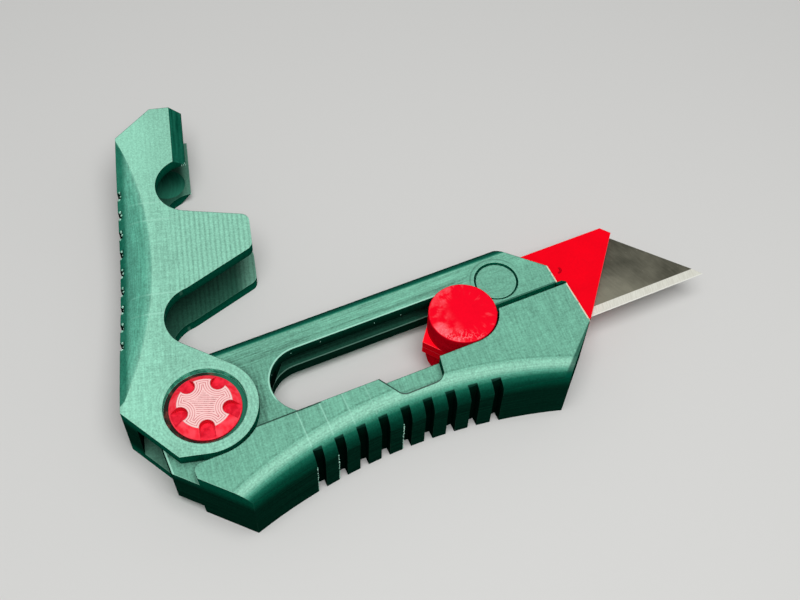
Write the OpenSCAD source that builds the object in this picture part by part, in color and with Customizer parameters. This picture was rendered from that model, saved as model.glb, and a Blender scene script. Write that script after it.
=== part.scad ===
// Folding utility knife. Two grip halves hinge on one pivot pin: the frame, which
// guides the blade carrier, and the cover, whose cheeks fold over the frame.
// Every outline is laid out with the knife closed: the pivot axis is the origin,
// X runs along the rail towards the blade, Y towards the spine, Z through the body.

/* [Body] */
// Thickness of the body over both faces
body_t = 18; // [16:0.5:22]
// Thickness of each cover cheek, and height of each raised grip
cheek_t = 3; // [2.4:0.1:3.6]
// Gap between the cover and the frame it folds over
fold_gap = 0.3; // [0.2:0.05:0.5]
// Angle at which the cover stands open
cover_open = 75; // [0:1:90]

/* [Pivot] */
// Radius of the barrel that the cover turns on
barrel_r = 6; // [5:0.25:7]
// Radial clearance of the barrel in its bores
pin_play = 0.08; // [0.03:0.01:0.1]
// Radius of the threaded stud inside the nut
stud_r = 3.6; // [2.5:0.1:4.5]
// Radius of the pin head and of the nut flange
head_r = 8.3; // [7.6:0.1:8.8]
// Height of the pin head above the face
head_rise = 0.9; // [0.3:0.1:1.5]
// Height and width of the cone round the pin head
head_cone = 1.95; // [0.8:0.05:2.2]
// Radius of the recess round the head and the nut
sink_r = 9.55; // [9.2:0.05:10.4]
// Depth of the recess round the head and the nut
sink_depth = 1.8; // [1.5:0.1:2]
// Gap under the pin head and over the nut flange
thrust_gap = 0.2; // [0.1:0.05:0.3]
// Depth of the nut below the rest face
nut_recess = 0; // [0:0.1:0.7]
// Number of drive notches in the head and the nut
drive_count = 5; // [3:1:6]
// Width of a drive notch
drive_w = 3.5; // [2:0.1:4]
// Distance from the axis to the round end's centre of a drive notch
drive_r = 5.95; // [5:0.05:6.5]
// Depth of the drive notches in the pin head
drive_depth = 1.7; // [0.6:0.1:2]
// Direction of the first drive notch, in degrees
drive_turn = 40; // [0:1:72]
// Depth of the drive notches in the nut
nut_drive_depth = 1.1; // [0.6:0.1:1.3]

/* [Cover] */
// Radius of the cover's round hub
hub_r = 12.1; // [11.4:0.1:12.6]
// Height of the spine above the pivot at the rear
spine_y = 18.9; // [18.4:0.1:21]
// Fall of the spine towards the tip, in degrees
spine_taper = 1.25; // [0:0.05:1.4]
// Height at which the rear end cut starts
endcut_y = 6.5; // [4:0.5:9]
// Slope of the rear end cut, in degrees
endcut_slope = 43.2; // [38:0.2:50]
// Height of the front corner of the cover's tip
tip_y = 8; // [6:0.5:10]
// Overhang of the cover's tip past the rail nose
tip_over = 0.2; // [0:0.1:2]
// Height of the tip's lower edge on its inner side
tip_edge = -0.1; // [-0.5:0.1:1]
// Radius of the arc where the spine's scallop meets the face
scallop_plan = 100; // [80:5:160]
// Place of the scallop's deepest point along the body
scallop_x = 43; // [38:1:48]
// Height of the scallop's deepest point
scallop_y = 9.6; // [8.8:0.2:12]
// Radius of the round that rolls the scallop into the spine
scallop_round = 10; // [9.6:0.2:14]

/* [Guard] */
// Lower edge of the guard
guard_y = -14.75; // [-15.5:0.25:-12]
// Distance of the guard's lower front corner behind the knob's axis
guard_back = 11.9; // [11:0.1:13]
// Width of the guard along its lower edge
guard_w = 9.9; // [7:0.1:11]
// Lean of the guard's front edge, in degrees
guard_front_lean = 12.2; // [9:0.2:12.4]
// Lean of the guard's rear edge, in degrees
guard_rear_lean = 31; // [26:0.5:34]
// Corner radius of the guard
guard_round = 2.4; // [1:0.1:3]
// Clearance round the guard in its pocket
guard_gap = 0.5; // [0.3:0.05:0.8]

/* [Frame] */
// Height of the rail's outer wall above the pivot
rail_y = 15.4; // [15.2:0.1:16]
// Radius of the rail's outer edges
rail_round = 2.6; // [1.5:0.1:3]
// Distance of the rail nose in front of the knob's axis
nose_reach = 26.3; // [25.9:0.1:34]
// Height at which the rail nose starts to slant
nose_y = 4.9; // [3:0.1:7]
// Slope of the slanted noses, in degrees
nose_slope = 45; // [40:1:50]
// Distance from the pivot to the rear wall
heel_x = 12; // [11.4:0.1:13]
// Depth at which the rear wall turns into the heel
heel_y = -11.5; // [-13:0.5:-10]
// Slope of the heel, in degrees
heel_slope = 46.6; // [42:0.2:50]
// Rear end of the raised grip
grip_rear = -7.4; // [-9:0.2:-6]
// Corner radius at the rear end of the raised grip
grip_round = 1.6; // [0.5:0.1:2]
// Overhang of the grip's nose past the rail nose
grip_over = 0.5; // [0:0.1:2]
// Depth of the grip's nose where it starts to slant
grip_nose_y = -14.9; // [-17:0.1:-13.5]
// Gap between the hub and the raised grip beside it
hub_gap = 0.9; // [0.5:0.1:1.3]
// Waist of the grip, the middle of its finger edge
waist_y = -20; // [-21.5:0.25:-19]
// Depth of the heel and the toe below the waist
grip_flare = 7; // [6.5:0.5:9]
// Place of the waist along the body
waist_x = 41; // [38:1:44]
// Radius of the finger edge in plan
waist_r = 131.4; // [115:0.2:170]
// Radius of the arc where the finger scallop meets the face
finger_plan = 104; // [100:0.5:125]
// Height of the finger scallop's middle
finger_y = -13.4; // [-14.4:0.1:-13]
// Radius of the round that rolls the finger scallop into the wall
finger_round = 6.6; // [6.4:0.1:9]

/* [Ribs] */
// Number of grip slots in the finger edge and in the spine
rib_count = 9; // [5:2:11]
// Distance between neighbouring grip slots
rib_pitch = 5.55; // [4.5:0.05:6]
// Width of a grip slot
rib_w = 2.2; // [1.5:0.1:3]
// Depth of the grip slots in the finger edge
rib_depth = 2; // [1:0.1:3]
// Depth of the grip slots in the spine
spine_rib_depth = 0.9; // [0.4:0.1:1]
// Place of the middle grip slot along the body
rib_x = 41.4; // [38:0.1:44]

/* [Blade slide] */
// Height of the slide's centre line above the pivot
lane_y = -0.85; // [-1.2:0.05:-0.6]
// Radius of the thumb knob
knob_r = 8.25; // [7.5:0.05:8.35]
// Clearance round the knob in the lane and in the cover's notches
knob_gap = 0.4; // [0.25:0.05:0.5]
// Angle up the rear notch at which it opens towards the hub and the guard
notch_open = 35; // [30:1:40]
// Distance from the pivot to the knob with the blade out
knob_x = 64.2; // [63.8:0.1:66]
// Travel of the blade carrier
travel = 40; // [38:0.5:41]
// Depth of the knob ends below the faces
knob_sink = 0.2; // [0.1:0.05:0.6]
// Radius of the spigot that joins the two knobs
spigot_r = 4; // [2.5:0.25:5]
// Reach of the spigot into the lower knob
spigot_reach = 3; // [1:0.25:4]
// Thickness of the blade carrier
plate_t = 4.4; // [3.6:0.1:5]
// Half width of the blade carrier
plate_half = 12.8; // [12.2:0.1:12.9]
// Clearance above and below the carrier
plate_gap = 0.1; // [0.05:0.05:0.3]
// Clearance beside the carrier
side_gap = 0.3; // [0.15:0.05:0.4]
// Reach of the carrier's pointed rear end behind the knob's axis
plate_rear = 10.3; // [9.4:0.1:10.8]
// Slope of the pointed rear end, in degrees
plate_point = 52; // [46:1:58]
// Reach of the carrier's nose in front of the knob's axis
plate_front = 47.7; // [44:0.1:50]
// Slope of the carrier's front edge, in degrees
plate_slope = 50; // [46:1:56]
// Drop of the bevelled corner at the carrier's nose
plate_bevel = 2.4; // [1:0.1:3]
// Run of the bevelled corner at the carrier's nose
plate_bevel_run = 1.9; // [1:0.1:3]
// Height of the shoulder under the carrier's nose
plate_toe = 2.55; // [1:0.05:3]
// Width of the slit between the rail nose and the grip nose
slit_w = 2.9; // [2:0.1:3.4]
// Centre of the slit
slit_y = -1.75; // [-2:0.05:-1.5]

/* [Blade] */
// Length of the blade along its edge
blade_l = 61; // [58:0.5:64]
// Length of the blade along its back
blade_back = 28; // [26:0.5:34]
// Width of the blade
blade_w = 19; // [17:0.5:19.5]
// Thickness of the blade
blade_t = 0.6; // [0.4:0.05:0.8]
// Thickness of the blade at its edge
edge_t = 0.04; // [0.02:0.01:0.1]
// Width of the honed bevel
blade_bevel = 2.3; // [1:0.1:3]
// Reach of the blade's point in front of the knob's axis
blade_out = 64; // [62:0.5:68]
// Height of the blade's middle above the slide's centre line
blade_lift = 0.6; // [0:0.1:1]
// Clearance round the blade in the carrier
blade_gap = 0.05; // [0.02:0.01:0.1]
// Distance between the two notches in the blade's back
notch_span = 17; // [14:0.5:20]
// Width of a notch in the blade's back
notch_w = 3.4; // [2.4:0.1:4]
// Depth of a notch in the blade's back
notch_depth = 3.2; // [2.5:0.1:4]

/* [Closing magnets] */
// Distance of the closing magnets in front of the knob's axis
magnet_reach = 12.6; // [12:0.1:14]
// Height of the closing magnets above the pivot
magnet_y = 6; // [5.5:0.1:6.5]
// Radius of the frame's magnets and of the discs over them
disc_r = 4.95; // [4:0.05:5.2]
// Clearance round a disc in its hole
disc_gap = 0.5; // [0.3:0.05:0.6]
// Thickness of a disc
disc_t = 1; // [0.6:0.1:1.2]
// Depth of a disc below the rail's face
disc_sink = 0.3; // [0.1:0.05:0.4]
// Thickness of the frame's magnets
magnet_t = 1.5; // [1:0.1:1.6]
// Radius of the cover's magnets
cover_magnet_r = 3; // [2:0.1:3.2]
// Thickness of the cover's magnets
cover_magnet_t = 1.6; // [1:0.1:1.8]
// Clearance round the cover's magnets
magnet_gap = 0.1; // [0.05:0.05:0.2]

/* [Hidden] */
$fn = 96;
EPS = 1;
CORNER_STEPS = 8;

mid = body_t / 2;
slab_lo = cheek_t + fold_gap;
slab_hi = body_t - slab_lo;
groove_h = plate_t + 2 * plate_gap;
lane_r = knob_r + knob_gap;
lane_lo = lane_y - lane_r;
slit_lo = slit_y - slit_w / 2;
hub_clear = hub_r + hub_gap;
head_seat = body_t - sink_depth + thrust_gap;
nose_x = knob_x + nose_reach;
grip_nose_x = nose_x + grip_over;
tip_x = nose_x + tip_over;
guard_front = knob_x - guard_back;
guard_rear = guard_front - guard_w;
magnet_x = knob_x + magnet_reach;
grip_lo = waist_y - grip_flare;
groove_half = plate_half + side_gap;
GREEN = [0.42, 0.72, 0.58];
RED = [0.78, 0.12, 0.13];

// Points of a polygon whose vertices are [x, y, corner radius]
function xy(p) = [p.x, p.y];
function unit(v) = v / norm(v);
function corner(a, b, c, r) =
    let (u = unit(a - b), v = unit(c - b), half = acos(u * v) / 2)
    let (centre = b + unit(u + v) * r / sin(half))
    let (p = b + u * r / tan(half) - centre, q = b + v * r / tan(half) - centre)
    let (start = atan2(p.y, p.x), turn = (atan2(q.y, q.x) - start + 540) % 360 - 180)
    [for (k = [0 : CORNER_STEPS])
        centre + r * [cos(start + turn * k / CORNER_STEPS), sin(start + turn * k / CORNER_STEPS)]];
function rounded(p) =
    let (n = len(p))
    [for (i = [0 : n - 1])
        each p[i].z > 0
            ? corner(xy(p[(i + n - 1) % n]), xy(p[i]), xy(p[(i + 1) % n]), p[i].z)
            : [xy(p[i])]];

// Heights of the spine and of the finger edge at a place along the body
function spine_at(x) = spine_y - x * tan(spine_taper);
function waist_at(x) = waist_y - waist_r + sqrt(waist_r ^ 2 - (x - waist_x) ^ 2);

// Places of the guard's edges: x at a given height
function guard_front_at(y) = guard_front + (y - guard_y) * tan(guard_front_lean);
function guard_rear_at(y) = guard_rear - (y - guard_y) * tan(guard_rear_lean);

// Mirrors its children to the other face of the body
module both_faces() {
    children();
    translate([0, 0, body_t]) mirror([0, 0, 1]) children();
}

// Section of the rail across the body, with its two outer edges rounded
module rail_section() {
    translate([0, slab_lo]) square([rail_y - rail_round, slab_hi - slab_lo]);
    translate([0, slab_lo + rail_round]) square([rail_y, slab_hi - slab_lo - 2 * rail_round]);
    for (z = [slab_lo + rail_round, slab_hi - rail_round])
        translate([rail_y - rail_round, z]) circle(rail_round);
}

// Straight lane that the knob runs in, through the whole body
module knob_lane() {
    for (x = [knob_x - travel, knob_x])
        translate([x, lane_y, -EPS]) cylinder(r = lane_r, h = body_t + 2 * EPS);
    translate([knob_x - travel, lane_lo, -EPS]) cube([travel, 2 * lane_r, body_t + 2 * EPS]);
}

// Scallop that rolls the upper face into a side wall: it starts at an arc of
// radius plan in the face, and falls as a round of radius r towards the arc's centre
module scallop(plan, r) {
    rotate_extrude($fn = 360) difference() {
        translate([plan - 2 * r, body_t - r]) square([2 * r, r + EPS]);
        translate([plan, body_t - r]) circle(r);
    }
}

// Round-ended notches of the pin's and the nut's drive, open at the rim
module drive_notches(depth) {
    for (k = [0 : drive_count - 1])
        rotate([0, 0, drive_turn + k * 360 / drive_count]) {
            translate([drive_r, 0, 0]) cylinder(r = drive_w / 2, h = depth + EPS);
            translate([drive_r, -drive_w / 2, 0]) cube([head_r, drive_w, depth + EPS]);
        }
}

// Outer outline of the grip below a given inner edge
heel_run = (heel_y - grip_lo) / tan(heel_slope);
toe_run = (grip_nose_y - grip_lo) / tan(nose_slope);
function heel_at(x) = heel_y - (x + heel_x) * tan(heel_slope);
grip_outer = [
    [heel_run - heel_x, grip_lo, 0],
    [grip_nose_x - toe_run, grip_lo, 0],
    [grip_nose_x, grip_nose_y, 0],
    [grip_nose_x, slit_lo, 0]];

// Slab between the cheeks: rail, rounded rear and the grip's core
module slab() {
    rotate([90, 0, 90]) linear_extrude(nose_x) rail_section();
    intersection() {
        rotate_extrude() rail_section();
        translate([-heel_x, 0, 0]) cube([heel_x + EPS, rail_y, body_t]);
    }
    translate([0, 0, slab_lo]) linear_extrude(slab_hi - slab_lo)
        polygon(rounded(concat(grip_outer, [
            [nose_x, slit_lo, 0], [nose_x, EPS, 0], [-heel_x, EPS, 0], [-heel_x, heel_y, 0]])));
}

// Raised grip, on both faces
module grip() {
    linear_extrude(body_t) polygon(rounded(concat(grip_outer, [
        [knob_x, slit_lo, 0], [knob_x, lane_lo, 0], [0, lane_lo, 0], [0, -hub_clear, 0],
        [grip_rear, -hub_clear, grip_round], [grip_rear, heel_at(grip_rear), 0]])));
}

// Pocket that the guard drops into, with room for the corner that swings out of it
guard_swing = norm([guard_front, guard_y]) + guard_gap;
module guard_pocket() {
    low = guard_y - guard_gap;
    side = guard_gap / cos(guard_rear_lean);
    translate([0, 0, slab_hi]) linear_extrude(cheek_t + fold_gap + EPS) polygon(rounded([
        [guard_rear_at(lane_lo + EPS) - side, lane_lo + EPS, 0],
        [guard_rear_at(low) - side, low, guard_round],
        [guard_front + guard_gap, low, guard_round],
        [sqrt(guard_swing ^ 2 - lane_lo ^ 2), lane_lo, 0],
        [sqrt(guard_swing ^ 2 - lane_lo ^ 2), lane_lo + EPS, 0]]));
}

// Room that the carrier slides in, pointed at the rear and open at the nose
module groove() {
    rear = knob_x - travel - plate_rear - 2 * side_gap;
    corner_x = rear + groove_half / tan(plate_point);
    translate([0, lane_y, mid - groove_h / 2]) linear_extrude(groove_h) polygon([
        [rear, 0], [corner_x, -groove_half], [grip_nose_x + EPS, -groove_half],
        [grip_nose_x + EPS, groove_half], [corner_x, groove_half]]);
}

// Hole for a closing magnet and its disc
disc_low = slab_hi - disc_sink - disc_t;
module magnet_hole() {
    translate([magnet_x, magnet_y, disc_low - magnet_t])
        cylinder(r = disc_r + disc_gap, h = disc_sink + disc_t + magnet_t + EPS);
}

module frame() {
    color(GREEN) difference() {
        union() {
            slab();
            grip();
        }
        // slanted rail nose
        translate([nose_x, nose_y, 0]) rotate([0, 0, 90 - nose_slope])
            cube([rail_y, 2 * rail_y, body_t]);
        knob_lane();
        groove();
        translate([knob_x, slit_lo, -EPS])
            cube([nose_x, slit_w, body_t + 2 * EPS]);
        translate([0, 0, -EPS]) cylinder(r = barrel_r + pin_play, h = body_t + 2 * EPS);
        both_faces() {
            translate([0, 0, slab_hi]) cylinder(r = hub_clear, h = body_t);
            guard_pocket();
            magnet_hole();
        }
        // finger edge: concave in plan, with its own scallop in the upper face
        translate([waist_x, waist_y - waist_r, -EPS])
            cylinder(r = waist_r, h = body_t + 2 * EPS, $fn = 360);
        translate([waist_x, finger_y - finger_plan, 0]) scallop(finger_plan, finger_round);
        for (i = [0 : rib_count - 1])
            let (x = rib_x + (i - (rib_count - 1) / 2) * rib_pitch)
            translate([x - rib_w / 2, waist_at(x) - rib_depth, -EPS])
                cube([rib_w, 2 * rib_depth, body_t + 2 * EPS]);
    }
}

// Outline of one cover cheek with the knife closed
spine_rear = -hub_r + (spine_y - endcut_y) / (tan(endcut_slope) + tan(spine_taper));
tip_run = (spine_at(tip_x) - tip_y) / tan(nose_slope);
notch_line = lane_y + lane_r * sin(notch_open);
notch_x = knob_x - travel - lane_r * cos(notch_open);
hub_touch = atan2(notch_line, notch_x) - acos(hub_r / norm([notch_x, notch_line]));
module cheek_plan() {
    polygon(rounded([
        [-hub_r, 0, 0],
        [-hub_r, endcut_y, 0],
        [spine_rear, spine_at(spine_rear), 0],
        [tip_x - tip_run, spine_at(tip_x - tip_run), 0],
        [tip_x, tip_y, 0],
        [tip_x, tip_edge, 0],
        [guard_front_at(tip_edge), tip_edge, 0],
        [guard_front, guard_y, guard_round],
        [guard_rear, guard_y, guard_round],
        [guard_rear_at(notch_line), notch_line, 0],
        [notch_x, notch_line, 0],
        [hub_r * cos(hub_touch), hub_r * sin(hub_touch), 0],
        [0, 0, 0]]));
}

module closed_cover() {
    difference() {
        union() {
            linear_extrude(body_t) cheek_plan();
            cylinder(r = hub_r, h = body_t);
        }
        // scallop along the spine in the upper face
        translate([scallop_x, scallop_y + scallop_plan, 0]) scallop(scallop_plan, scallop_round);
        // square channel between the cheeks, for the frame
        translate([-2 * hub_r, -2 * hub_r, cheek_t])
            cube([2 * hub_r + tip_x + EPS, 2 * hub_r + rail_y + fold_gap, body_t - 2 * cheek_t]);
        translate([0, 0, -EPS]) cylinder(r = barrel_r + pin_play, h = body_t + 2 * EPS);
        for (x = [knob_x - travel, knob_x])
            translate([x, lane_y, -EPS]) cylinder(r = lane_r, h = body_t + 2 * EPS);
        both_faces() {
            translate([0, 0, body_t - sink_depth]) cylinder(r = sink_r, h = sink_depth + EPS);
            // bevelled lower edge of the tip
            translate([knob_x, tip_edge, body_t - cheek_t]) rotate([90, 0, 90])
                linear_extrude(nose_x) polygon([
                    [-EPS, -EPS], [0, 0], [cheek_t + EPS, cheek_t + EPS], [-EPS, cheek_t + EPS]]);
            translate([magnet_x, magnet_y, body_t - cheek_t - EPS])
                cylinder(r = cover_magnet_r + magnet_gap, h = cover_magnet_t + EPS);
        }
        for (i = [0 : rib_count - 1])
            let (x = rib_x + (i - (rib_count - 1) / 2) * rib_pitch)
            translate([x - rib_w / 2, spine_at(x) - spine_rib_depth, -EPS])
                cube([rib_w, 2 * spine_rib_depth, body_t + 2 * EPS]);
    }
}

module cover() {
    color(GREEN) rotate([0, 0, cover_open]) closed_cover();
}

module pivot_pin() {
    top = body_t + head_rise;
    color(RED) difference() {
        rotate_extrude() polygon([
            [0, sink_depth + 2 * thrust_gap], [stud_r, sink_depth + 2 * thrust_gap],
            [stud_r, mid], [barrel_r, mid], [barrel_r, head_seat], [head_r, head_seat],
            [head_r, top - head_cone], [head_r - head_cone, top], [0, top]]);
        translate([0, 0, top - drive_depth]) drive_notches(drive_depth);
    }
}

module pivot_nut() {
    flange_top = sink_depth - thrust_gap;
    color(RED) difference() {
        rotate_extrude() polygon([
            [0, nut_recess], [head_r, nut_recess], [head_r, flange_top],
            [barrel_r, flange_top], [barrel_r, mid], [0, mid]]);
        translate([0, 0, flange_top]) cylinder(r = stud_r + pin_play, h = mid);
        translate([0, 0, nut_recess + nut_drive_depth]) mirror([0, 0, 1])
            drive_notches(nut_drive_depth);
    }
}

// Plan of the blade carrier: pointed rear, slanted front with a bevelled corner, and
// a shoulder where the nose leaves the frame
plate_corner = knob_x - plate_rear + plate_half / tan(plate_point);
module plate_plan() {
    toe_y = lane_y - plate_half + plate_toe;
    lean = (2 * plate_half - plate_bevel - plate_toe) / tan(plate_slope);
    polygon([
        [knob_x - plate_rear, lane_y],
        [plate_corner, lane_y - plate_half],
        [nose_x - plate_toe / tan(nose_slope), lane_y - plate_half],
        [nose_x, toe_y],
        [knob_x + plate_front - lean, toe_y],
        [knob_x + plate_front, lane_y + plate_half - plate_bevel],
        [knob_x + plate_front - plate_bevel_run, lane_y + plate_half],
        [plate_corner, lane_y + plate_half]]);
}

// Plan of the blade, and of the pocket that holds it when grown by a clearance
blade_mid = lane_y + blade_lift;
blade_x = knob_x + blade_out - blade_l / 2;
module blade_plan(grow) {
    low = blade_l / 2 + grow;
    high = blade_back / 2 + grow;
    half = blade_w / 2 + grow;
    translate([blade_x, blade_mid]) polygon([[-low, -half], [low, -half], [high, half], [-high, half]]);
}

// Half of the carrier: a plate with a bed for half the blade
module carrier_half() {
    difference() {
        translate([0, 0, mid]) linear_extrude(plate_t / 2) plate_plan();
        translate([0, 0, mid - EPS]) linear_extrude(EPS + blade_t / 2 + blade_gap)
            blade_plan(blade_gap);
        translate([knob_x, lane_y, mid - EPS]) cylinder(r = spigot_r + blade_gap, h = plate_t);
    }
}

module carrier_upper() {
    color(RED) carrier_half();
}

// The lower half carries the two lugs that sit in the blade's notches
lug_r = notch_w / 2 - blade_gap;
lug_y = blade_mid + blade_w / 2 - notch_depth + notch_w / 2;
module carrier_lower() {
    color(RED) {
        translate([0, 0, body_t]) mirror([0, 0, 1]) carrier_half();
        for (side = [-1, 1])
            translate([blade_x + side * notch_span / 2, lug_y, mid - blade_t / 2 - 2 * blade_gap])
                cylinder(r = lug_r, h = blade_t + 3 * blade_gap);
    }
}

// One knob stands on each face of the carrier; the upper one's spigot joins them
spigot_l = plate_t + spigot_reach;
module knob_upper() {
    seat = mid + plate_t / 2;
    color(RED) {
        translate([knob_x, lane_y, seat]) cylinder(r = knob_r, h = body_t - knob_sink - seat);
        translate([knob_x, lane_y, seat - spigot_l]) cylinder(r = spigot_r, h = spigot_l + EPS);
    }
}

module knob_lower() {
    seat = mid - plate_t / 2;
    color(RED) difference() {
        translate([knob_x, lane_y, knob_sink]) cylinder(r = knob_r, h = seat - knob_sink);
        translate([knob_x, lane_y, mid + plate_t / 2 - spigot_l - blade_gap])
            cylinder(r = spigot_r + blade_gap, h = spigot_l);
    }
}

module blade() {
    low = blade_mid - blade_w / 2;
    color([0.33, 0.3, 0.29]) difference() {
        intersection() {
            translate([0, 0, mid - blade_t / 2]) linear_extrude(blade_t) blade_plan(0);
            translate([0, low, mid]) rotate([90, 0, 90]) linear_extrude(2 * nose_x) polygon([
                [0, -edge_t / 2], [blade_bevel, -blade_t / 2], [blade_w + EPS, -blade_t / 2],
                [blade_w + EPS, blade_t / 2], [blade_bevel, blade_t / 2], [0, edge_t / 2]]);
        }
        for (side = [-1, 1])
            translate([blade_x + side * notch_span / 2, lug_y, mid - blade_t]) {
                cylinder(r = notch_w / 2, h = 2 * blade_t);
                translate([-notch_w / 2, 0, 0]) cube([notch_w, notch_depth, 2 * blade_t]);
            }
    }
}

module disc() {
    translate([magnet_x, magnet_y, disc_low]) cylinder(r = disc_r, h = disc_t);
}
module frame_magnet() {
    translate([magnet_x, magnet_y, disc_low - magnet_t]) cylinder(r = disc_r, h = magnet_t);
}
module cover_magnet() {
    translate([magnet_x, magnet_y, body_t - cheek_t]) cylinder(r = cover_magnet_r, h = cover_magnet_t);
}
module lower_face() {
    translate([0, 0, body_t]) mirror([0, 0, 1]) children();
}
module magnet_disc_upper() {
    color(GREEN) disc();
}
module magnet_disc_lower() {
    color(GREEN) lower_face() disc();
}
module frame_magnet_upper() {
    color("silver") frame_magnet();
}
module frame_magnet_lower() {
    color("silver") lower_face() frame_magnet();
}
module cover_magnet_upper() {
    color("silver") rotate([0, 0, cover_open]) cover_magnet();
}
module cover_magnet_lower() {
    color("silver") rotate([0, 0, cover_open]) lower_face() cover_magnet();
}

frame();
cover();
pivot_pin();
pivot_nut();
carrier_upper();
carrier_lower();
knob_upper();
knob_lower();
blade();
magnet_disc_upper();
magnet_disc_lower();
frame_magnet_upper();
frame_magnet_lower();
cover_magnet_upper();
cover_magnet_lower();
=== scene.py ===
# %% [markdown]
# # A printed folding knife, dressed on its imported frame
#
# The knife is printed in two plastics: a silky green for the frame and the cover,
# and a plain red for what the thumb and the screwdriver touch. The steel blade is the
# only bought piece in sight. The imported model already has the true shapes, so this
# lesson spends its time on finishes: a print is recognised by its lines, and each
# face of it has different ones.

# %% Load the fixed frame
import math

import bpy
import numpy as np
from mathutils import Matrix, Vector


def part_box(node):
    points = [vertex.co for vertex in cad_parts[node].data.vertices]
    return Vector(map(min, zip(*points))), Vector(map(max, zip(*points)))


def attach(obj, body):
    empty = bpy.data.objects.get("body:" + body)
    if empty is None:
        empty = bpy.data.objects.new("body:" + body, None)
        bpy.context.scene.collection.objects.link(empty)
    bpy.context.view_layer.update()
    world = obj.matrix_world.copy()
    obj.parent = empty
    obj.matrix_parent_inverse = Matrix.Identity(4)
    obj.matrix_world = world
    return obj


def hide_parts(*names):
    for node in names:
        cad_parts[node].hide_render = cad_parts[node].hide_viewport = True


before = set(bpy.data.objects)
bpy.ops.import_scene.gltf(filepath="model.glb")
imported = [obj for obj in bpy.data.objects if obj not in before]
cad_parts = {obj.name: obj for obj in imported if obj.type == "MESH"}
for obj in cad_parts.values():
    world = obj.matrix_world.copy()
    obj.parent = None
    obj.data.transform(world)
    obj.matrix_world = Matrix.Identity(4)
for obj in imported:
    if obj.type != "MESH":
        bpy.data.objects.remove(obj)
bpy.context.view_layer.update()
MM = 0.001
BODY_T = 18.0
MID_Z = BODY_T / 2
OPEN_ANGLE = 75.0

# %% [markdown]
# ## Camera
#
# The camera stands over the operator's side of the knife and looks down at nearly
# sixty degrees, so the upper faces fill the picture and the walls stay narrow. Its
# three axes are built from a compass angle, a pitch and a small roll, as a hand-held
# camera has.

# %% Camera
CAMERA_PLACE = Vector((-18.2, -132.6, 258.4)) * MM
CAMERA_TURN = 26.46
CAMERA_PITCH = 56.79
CAMERA_ROLL = 2.52
CAMERA_LENS = 54.15


def camera_axes(turn, pitch, roll):
    """Right, up and forward: a level frame is turned about Z, tipped down by the
    pitch, and then turned about its own forward axis by the roll."""
    t, p, r = map(math.radians, (turn, pitch, roll))
    forward = Vector((math.sin(t) * math.cos(p), math.cos(t) * math.cos(p), -math.sin(p)))
    level = Vector((math.cos(t), -math.sin(t), 0))
    up = level.cross(forward)
    return math.cos(r) * level + math.sin(r) * up, math.cos(r) * up - math.sin(r) * level, forward


right, up, forward = camera_axes(CAMERA_TURN, CAMERA_PITCH, CAMERA_ROLL)
camera = bpy.data.objects.new("camera", bpy.data.cameras.new("camera"))
camera.data.lens = CAMERA_LENS
camera.data.clip_start = 0.01
facing = Matrix((right, up, -forward)).transposed().to_4x4()
camera.matrix_world = Matrix.Translation(CAMERA_PLACE) @ facing
bpy.context.scene.collection.objects.link(camera)
bpy.context.scene.camera = camera
bpy.context.scene.view_settings.view_transform = "Standard"
print("camera looks along", [round(v, 3) for v in forward])

# %% [markdown]
# ## Writing shaders as sums
#
# A node tree is easier to read as arithmetic. `Wire` wraps one output socket and turns
# `a * b + 1` into Math nodes, also when the number stands first. Every other node is
# made by `Finish.node`, which sets the node's own settings before its sockets.


# %% A socket that can be added and multiplied
class Wire:
    """One output socket of a finish, with the operators that the finishes use."""

    def __init__(self, finish, socket):
        self.finish, self.socket = finish, socket

    def math(self, operation, *values):
        return self.finish.node("ShaderNodeMath", {"operation": operation}, dict(enumerate(values)))

    def __add__(self, other):
        return self.math("ADD", self, other)

    def __sub__(self, other):
        return self.math("SUBTRACT", self, other)

    def __rsub__(self, other):
        return self.math("SUBTRACT", other, self)

    def __mul__(self, other):
        return self.math("MULTIPLY", self, other)

    def __truediv__(self, other):
        return self.math("DIVIDE", self, other)

    def __abs__(self):
        return self.math("ABSOLUTE", self)

    def fraction(self):
        return self.math("FRACT", self)

    def smallest(self, other):
        return self.math("MINIMUM", self, other)

    def largest(self, other):
        return self.math("MAXIMUM", self, other)

    def length(self, other):
        """Length of the vector (self, other), as the root of the sum of squares."""
        return self.math("SQRT", self * self + other * other)

    def ramp(self, low, high):
        """0 below low, 1 above high, and a smooth S between them; low may be the larger."""
        ends = {"From Min": low, "From Max": high}
        settings = {"interpolation_type": "SMOOTHSTEP", "clamp": True}
        if low > high:
            ends = {"From Min": high, "From Max": low, "To Min": 1.0, "To Max": 0.0}
        return self.finish.node("ShaderNodeMapRange", settings, {"Value": self, **ends})

    __radd__ = __add__
    __rmul__ = __mul__


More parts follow.
